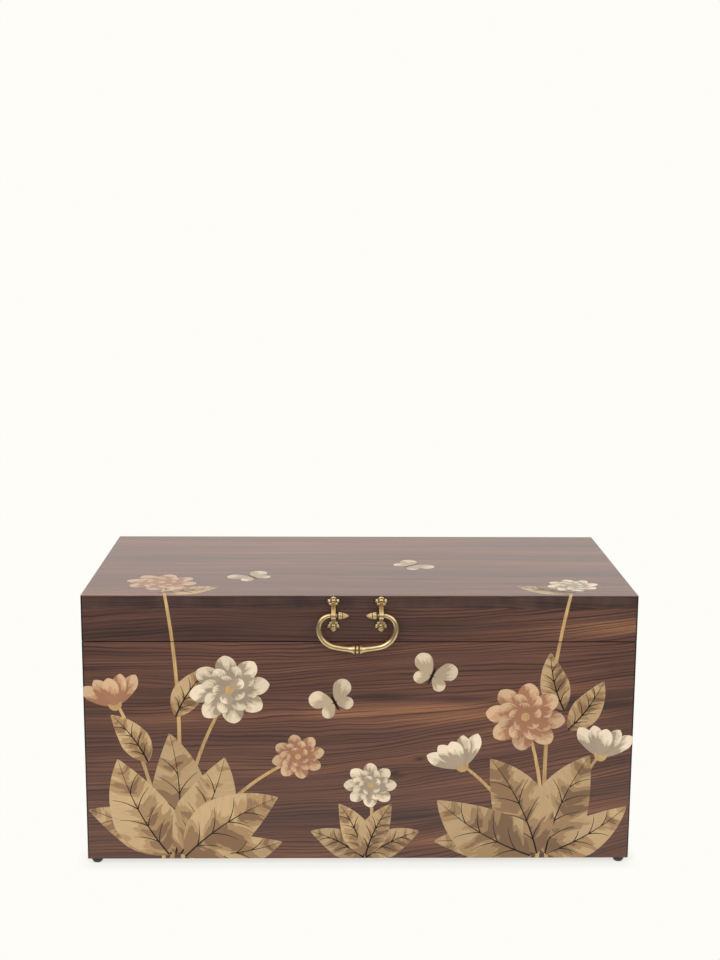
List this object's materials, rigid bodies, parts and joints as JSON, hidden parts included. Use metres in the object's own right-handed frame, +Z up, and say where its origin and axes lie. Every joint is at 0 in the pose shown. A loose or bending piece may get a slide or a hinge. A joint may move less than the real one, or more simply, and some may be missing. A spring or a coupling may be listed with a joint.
{
  "type": "inlaid wooden trunk",
  "caption": "Low lidded chest with mitred walls, flowering-plant inlay, a brass drop handle on the lid, butt hinges, sliding lid stays and small round feet.",
  "frame": {"origin": "on the floor, below the middle of the trunk's outer box, handle and hinges included", "axes": "+Z up, +X along the trunk's width to the viewer's right, the front with the handle faces -Y"},
  "size_m": [0.9, 0.4668, 0.461],
  "materials": {
    "rosewood": "satin lacquer over fine dark straight grain",
    "inner_wood": "sanded, unpolished",
    "gold_veneer": "satin lacquer over ochre dyed veneer",
    "light_leaf_veneer": "satin lacquer over light tan veneer",
    "dark_leaf_veneer": "satin lacquer over mid brown veneer",
    "ebony": "satin lacquer over near black veneer",
    "cream_veneer": "satin lacquer over cream veneer, scorched towards the flower's eye",
    "peach_veneer": "satin lacquer over peach dyed veneer, scorched towards the flower's eye",
    "pale_veneer": "satin lacquer over pale veneer",
    "handle_brass": "antique brass, polished on the high places and dark in the hollows",
    "fitting_brass": "drawn brass",
    "steel": "plain wire nail",
    "foot_plastic": "black, smooth",
    "bumper_rubber": "dark felted rubber"
  },
  "bodies": {
    "box": {"back_left_foot": "foot_plastic", "back_panel": "rosewood", "back_right_foot": "foot_plastic", "box_corner_splines": "inner_wood", "box_cream_petal_inlays": "cream_veneer", "box_dark_leaf_inlays": "dark_leaf_veneer", "box_ebony_inlays": "ebony", "box_front_veneer": "rosewood", "box_hinge_screws": "fitting_brass", "box_light_leaf_inlays": "light_leaf_veneer", "box_peach_petal_inlays": "peach_veneer", "box_stay_screws": "fitting_brass", "box_stem_inlays": "gold_veneer", "box_wing_inlays": "pale_veneer", "floor_board": "inner_wood", "floor_glue_blocks": "inner_wood", "foot_nails": "steel", "front_left_foot": "foot_plastic", "front_panel": "rosewood", "front_right_foot": "foot_plastic", "left_hinge_box_leaf": "fitting_brass", "left_hinge_pin": "fitting_brass", "left_side_panel": "rosewood", "left_stay_box_stud": "fitting_brass", "right_hinge_box_leaf": "fitting_brass", "right_hinge_pin": "fitting_brass", "right_side_panel": "rosewood", "right_stay_box_stud": "fitting_brass", "rim_bumpers": "bumper_rubber"},
    "lid": {"lid_back_rail": "rosewood", "lid_board": "rosewood", "lid_corner_splines": "inner_wood", "lid_cream_petal_inlays": "cream_veneer", "lid_dark_leaf_inlays": "dark_leaf_veneer", "lid_ebony_inlays": "ebony", "lid_edge_veneer": "rosewood", "lid_front_rail": "rosewood", "lid_front_veneer": "rosewood", "lid_hinge_screws": "fitting_brass", "lid_left_rail": "rosewood", "lid_light_leaf_inlays": "light_leaf_veneer", "lid_peach_petal_inlays": "peach_veneer", "lid_right_rail": "rosewood", "lid_stay_screws": "fitting_brass", "lid_stem_inlays": "gold_veneer", "lid_top_veneer": "rosewood", "lid_wing_inlays": "pale_veneer", "left_handle_bracket": "handle_brass", "right_handle_bracket": "handle_brass", "handle_screws": "handle_brass", "left_stay_lid_stud": "fitting_brass", "right_stay_lid_stud": "fitting_brass", "left_hinge_lid_leaf": "fitting_brass", "right_hinge_lid_leaf": "fitting_brass"},
    "handle": {"handle_bail": "handle_brass", "left_bail_finial": "handle_brass", "right_bail_finial": "handle_brass"},
    "left_stay": {"left_stay_arm": "fitting_brass"},
    "right_stay": {"right_stay_arm": "fitting_brass"}
  },
  "joints": [
    {"name": "lid_hinge", "type": "hinge", "parent": "box", "child": "lid", "pos_m": [0, 0.22895, 0.384], "axis": [-1, 0, 0], "range_deg": [0, 95]},
    {"name": "handle_swing", "type": "hinge", "parent": "lid", "child": "handle", "pos_m": [-0.005, -0.22575, 0.4316], "axis": [-1, 0, 0], "range_deg": [-6, 160]},
    {"name": "left_stay_pivot", "type": "hinge", "parent": "lid", "child": "left_stay", "pos_m": [-0.428, 0.10158, 0.41], "axis": [-1, 0, 0], "range_deg": [-47.5, 0]},
    {"name": "right_stay_pivot", "type": "hinge", "parent": "lid", "child": "right_stay", "pos_m": [0.428, 0.10158, 0.41], "axis": [-1, 0, 0], "range_deg": [-47.5, 0]}
  ],
  "couplings": [
    {"joint": "left_stay_pivot", "follows": "lid_hinge", "ratio": -0.5},
    {"joint": "right_stay_pivot", "follows": "lid_hinge", "ratio": -0.5}
  ]
}
